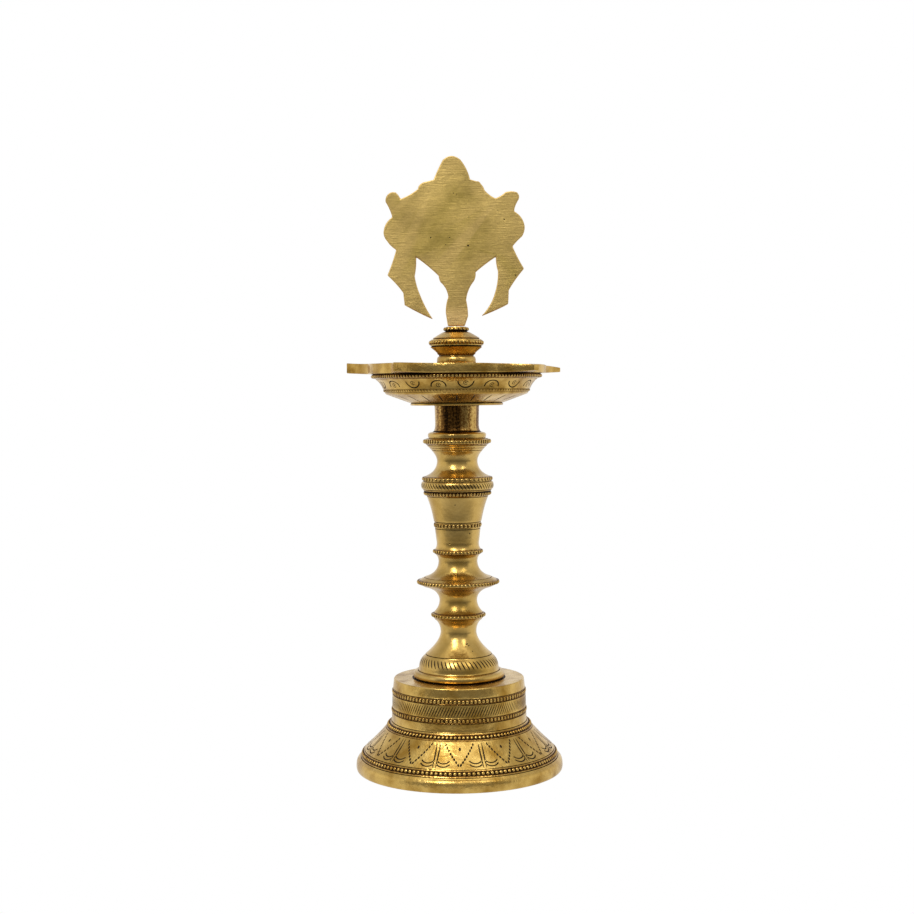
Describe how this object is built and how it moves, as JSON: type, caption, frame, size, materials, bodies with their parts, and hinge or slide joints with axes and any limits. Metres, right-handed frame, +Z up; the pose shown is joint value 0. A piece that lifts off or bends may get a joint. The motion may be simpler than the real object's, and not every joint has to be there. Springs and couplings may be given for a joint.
{
  "type": "brass standing oil lamp",
  "caption": "Turned brass standing oil lamp with a bell foot, screwed pillar, beaked oil dish and flat cast finial.",
  "frame": {"origin": "on the lamp's turning axis, at the plane the foot stands on", "axes": "+Z up along the pillar; -Y is the side that the finial's flat face looks to; +X to the right seen from there"},
  "size_m": [0.1359, 0.1323, 0.3807],
  "materials": {
    "cast_brass": "cast, turned and hand chased, dark patina in the cuts",
    "turned_brass": "turned and polished",
    "filed_brass": "filed flat and brushed",
    "screw_brass": "turned, unpolished"
  },
  "bodies": {
    "foot": {"base_casting": "cast_brass"},
    "pillar_screw": {"pillar_stud": "screw_brass"},
    "lower_column": {"lower_pillar": "turned_brass"},
    "joining_screw": {"middle_stud": "screw_brass"},
    "upper_column": {"upper_pillar": "turned_brass"},
    "dish_screw": {"dish_stud": "screw_brass"},
    "dish_body": {"dish_socket": "turned_brass", "dish": "cast_brass"},
    "finial_screw": {"finial_stud": "screw_brass"},
    "finial": {"finial_knob": "cast_brass", "finial_plate": "filed_brass"}
  },
  "joints": [
    {"name": "pillar_rise", "type": "slide", "parent": "foot", "child": "pillar_screw", "axis": [0, 0, 1], "range_m": [0, 0.015]},
    {"name": "pillar_turn", "type": "hinge", "parent": "pillar_screw", "child": "lower_column", "pos_m": [0, 0, 0], "axis": [0, 0, 1], "range_deg": [0, 3600]},
    {"name": "upper_pillar_rise", "type": "slide", "parent": "lower_column", "child": "joining_screw", "axis": [0, 0, 1], "range_m": [0, 0.015]},
    {"name": "upper_pillar_turn", "type": "hinge", "parent": "joining_screw", "child": "upper_column", "pos_m": [0, 0, 0], "axis": [0, 0, 1], "range_deg": [0, 3600]},
    {"name": "dish_rise", "type": "slide", "parent": "upper_column", "child": "dish_screw", "axis": [0, 0, 1], "range_m": [0, 0.015]},
    {"name": "dish_turn", "type": "hinge", "parent": "dish_screw", "child": "dish_body", "pos_m": [0, 0, 0], "axis": [0, 0, 1], "range_deg": [0, 3600]},
    {"name": "finial_rise", "type": "slide", "parent": "dish_body", "child": "finial_screw", "axis": [0, 0, 1], "range_m": [0, 0.015]},
    {"name": "finial_turn", "type": "hinge", "parent": "finial_screw", "child": "finial", "pos_m": [0, 0, 0], "axis": [0, 0, 1], "range_deg": [0, 5400]}
  ],
  "couplings": [
    {"joint": "pillar_rise", "follows": "pillar_turn", "m_per_rad": 0.00023873},
    {"joint": "upper_pillar_rise", "follows": "upper_pillar_turn", "m_per_rad": 0.00023873},
    {"joint": "dish_rise", "follows": "dish_turn", "m_per_rad": 0.00023873},
    {"joint": "finial_rise", "follows": "finial_turn", "m_per_rad": 0.00015915}
  ]
}
